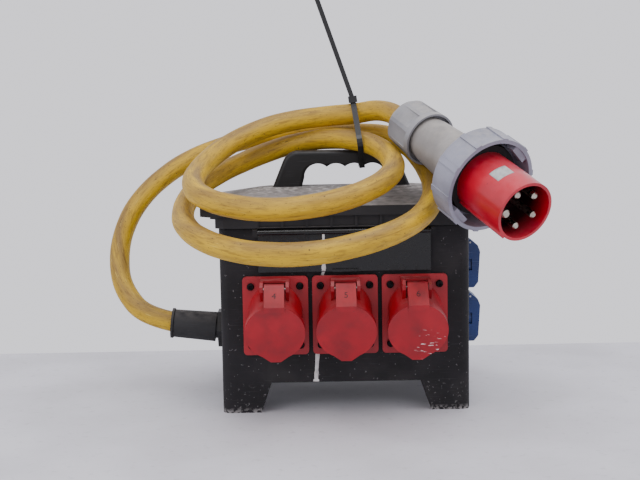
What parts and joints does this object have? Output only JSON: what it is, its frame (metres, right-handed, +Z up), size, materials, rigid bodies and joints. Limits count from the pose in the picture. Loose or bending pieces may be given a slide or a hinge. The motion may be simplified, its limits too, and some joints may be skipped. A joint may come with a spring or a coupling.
{
  "type": "portable power distribution box",
  "caption": "Moulded box on feet with sloped round lidded outlets in front, domestic outlets on one side, a carrying handle and a coiled supply cable with a large pin plug.",
  "frame": {"origin": "on the floor, under the middle of the box's bounding rectangle without its cable", "axes": "+X to the right seen from the front, +Y to the back, +Z up"},
  "size_m": [0.5404, 0.4197, 0.5266],
  "materials": {
    "body_plastic": "satin",
    "handle_plastic": "satin",
    "seal_rubber": "matte",
    "black_screw": "satin",
    "bright_steel": "satin",
    "smoked_window": "gloss",
    "zinc_rail": "satin",
    "breaker_grey": "satin",
    "lever_plastic": "satin",
    "test_button": "satin",
    "gland_plastic": "satin",
    "sleeve_rubber": "matte",
    "cable_sheath": "matte",
    "tie_nylon": "satin",
    "plug_nut_grey": "satin",
    "plug_body_grey": "satin",
    "plug_ring_grey": "satin",
    "outlet_red": "gloss",
    "insert_black": "matte",
    "nickel_pins": "satin",
    "spring_steel": "satin",
    "side_outlet_blue": "satin"
  },
  "bodies": {
    "box": {"body_shell": "body_plastic", "hood": "body_plastic", "handle": "handle_plastic", "hood_seal": "seal_rubber", "window_seal": "seal_rubber", "outlet_gaskets": "seal_rubber", "plug_seal": "seal_rubber", "hood_screws": "black_screw", "handle_screws": "black_screw", "outlet_screws": "black_screw", "side_outlet_screws": "bright_steel", "window_hinge_pin": "bright_steel", "din_rail": "zinc_rail", "rail_brackets": "zinc_rail", "rcd": "breaker_grey", "breaker_1": "breaker_grey", "breaker_2": "breaker_grey", "breaker_3": "breaker_grey", "cable_gland": "gland_plastic", "gland_locknut": "gland_plastic", "cable_sleeve": "sleeve_rubber", "supply_cable": "cable_sheath", "cable_tie": "tie_nylon", "plug_cap_nut": "plug_nut_grey", "plug_body": "plug_body_grey", "plug_shroud": "outlet_red", "plug_pins": "nickel_pins", "outlet_1_housing": "outlet_red", "outlet_1_insert": "insert_black", "outlet_1_hinge_pin": "bright_steel", "outlet_1_spring": "spring_steel", "outlet_2_housing": "outlet_red", "outlet_2_insert": "insert_black", "outlet_2_hinge_pin": "bright_steel", "outlet_2_spring": "spring_steel", "outlet_3_housing": "outlet_red", "outlet_3_insert": "insert_black", "outlet_3_hinge_pin": "bright_steel", "outlet_3_spring": "spring_steel", "side_outlet_1_housing": "side_outlet_blue", "side_outlet_1_insert": "side_outlet_blue", "side_outlet_1_hinge_pin": "bright_steel", "side_outlet_1_spring": "spring_steel", "side_outlet_2_housing": "side_outlet_blue", "side_outlet_2_insert": "side_outlet_blue", "side_outlet_2_hinge_pin": "bright_steel", "side_outlet_2_spring": "spring_steel"},
    "outlet_1_lid": {"outlet_1_lid": "outlet_red"},
    "outlet_2_lid": {"outlet_2_lid": "outlet_red"},
    "outlet_3_lid": {"outlet_3_lid": "outlet_red"},
    "side_outlet_1_lid": {"side_outlet_1_lid": "side_outlet_blue"},
    "side_outlet_2_lid": {"side_outlet_2_lid": "side_outlet_blue"},
    "window_flap": {"window_flap": "smoked_window"},
    "rcd_lever": {"rcd_lever": "lever_plastic"},
    "breaker_1_lever": {"breaker_1_lever": "lever_plastic"},
    "breaker_2_lever": {"breaker_2_lever": "lever_plastic"},
    "breaker_3_lever": {"breaker_3_lever": "lever_plastic"},
    "rcd_test_button": {"rcd_test_button": "test_button"},
    "plug_locking_ring": {"plug_locking_ring": "plug_ring_grey"}
  },
  "joints": [
    {"name": "outlet_1_lid_hinge", "type": "hinge", "parent": "box", "child": "outlet_1_lid", "pos_m": [-0.085, -0.124, 0.1605], "axis": [-1, 0, 0], "range_deg": [0, 105], "stiffness_Nm_per_rad": 0.12, "springref_deg": -20.05},
    {"name": "outlet_2_lid_hinge", "type": "hinge", "parent": "box", "child": "outlet_2_lid", "pos_m": [0, -0.124, 0.1605], "axis": [-1, 0, 0], "range_deg": [0, 105], "stiffness_Nm_per_rad": 0.12, "springref_deg": -20.05},
    {"name": "outlet_3_lid_hinge", "type": "hinge", "parent": "box", "child": "outlet_3_lid", "pos_m": [0.085, -0.124, 0.1605], "axis": [-1, 0, 0], "range_deg": [0, 105], "stiffness_Nm_per_rad": 0.12, "springref_deg": -20.05},
    {"name": "side_outlet_1_lid_hinge", "type": "hinge", "parent": "box", "child": "side_outlet_1_lid", "pos_m": [0.162, 0.005, 0.19975], "axis": [0, -1, 0], "range_deg": [0, 85], "stiffness_Nm_per_rad": 0.05, "springref_deg": -20.05},
    {"name": "side_outlet_2_lid_hinge", "type": "hinge", "parent": "box", "child": "side_outlet_2_lid", "pos_m": [0.162, 0.005, 0.13025], "axis": [0, -1, 0], "range_deg": [0, 85], "stiffness_Nm_per_rad": 0.05, "springref_deg": -20.05},
    {"name": "window_hinge", "type": "hinge", "parent": "box", "child": "window_flap", "pos_m": [0, -0.089, 0.2245], "axis": [-1, 0, 0], "range_deg": [0, 90]},
    {"name": "rcd_switch", "type": "hinge", "parent": "box", "child": "rcd_lever", "pos_m": [0, -0.0725, 0.2], "axis": [1, 0, 0], "range_deg": [0, 45]},
    {"name": "breaker_1_switch", "type": "hinge", "parent": "box", "child": "breaker_1_lever", "pos_m": [0, -0.0725, 0.2], "axis": [1, 0, 0], "range_deg": [0, 45]},
    {"name": "breaker_2_switch", "type": "hinge", "parent": "box", "child": "breaker_2_lever", "pos_m": [0, -0.0725, 0.2], "axis": [1, 0, 0], "range_deg": [0, 45]},
    {"name": "breaker_3_switch", "type": "hinge", "parent": "box", "child": "breaker_3_lever", "pos_m": [0, -0.0725, 0.2], "axis": [1, 0, 0], "range_deg": [0, 45]},
    {"name": "test_button_push", "type": "slide", "parent": "box", "child": "rcd_test_button", "axis": [0, 1, 0], "range_m": [0, 0.0015], "stiffness_N_per_m": 400, "springref_m": -0.001},
    {"name": "locking_ring_turn", "type": "hinge", "parent": "box", "child": "plug_locking_ring", "pos_m": [0.15583, -0.16335, 0.29123], "axis": [0.4546, -0.8019, -0.3876], "range_deg": [0, 35]}
  ]
}
